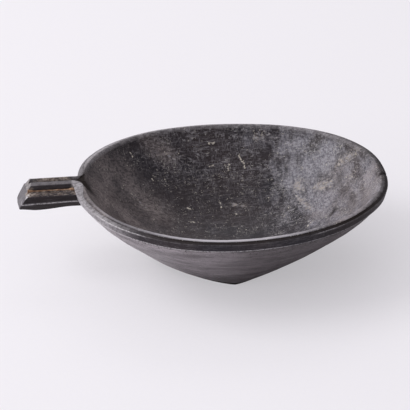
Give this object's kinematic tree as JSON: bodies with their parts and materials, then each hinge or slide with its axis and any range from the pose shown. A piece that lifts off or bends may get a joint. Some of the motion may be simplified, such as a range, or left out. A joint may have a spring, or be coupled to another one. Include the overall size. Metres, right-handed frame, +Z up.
{
  "type": "single-handled bowl",
  "caption": "Wide oval bowl of blackened carved wood with a flared wall, a bevelled rim band, a small soft-diamond foot and one short grooved lug handle.",
  "frame": {"origin": "centre of the flat foot, on the surface the bowl stands on", "axes": "+Z up through the rim, the handle points towards -X, +Y is the far side in the picture"},
  "size_m": [0.3924, 0.2692, 0.0974],
  "materials": {
    "body_wood": "blackened wood, burnished and dusty, with fine adze marks and scratches",
    "rim_wood": "blackened wood, worn pale along its edges",
    "handle_wood": "blackened wood, darker where handled",
    "resin": "crumbly brown resin"
  },
  "bodies": {
    "root": {"bowl_body": "body_wood", "near_rim_band": "rim_wood", "far_rim_band": "rim_wood", "handle_block": "handle_wood", "resin_bead": "resin"}
  },
  "joints": []
}
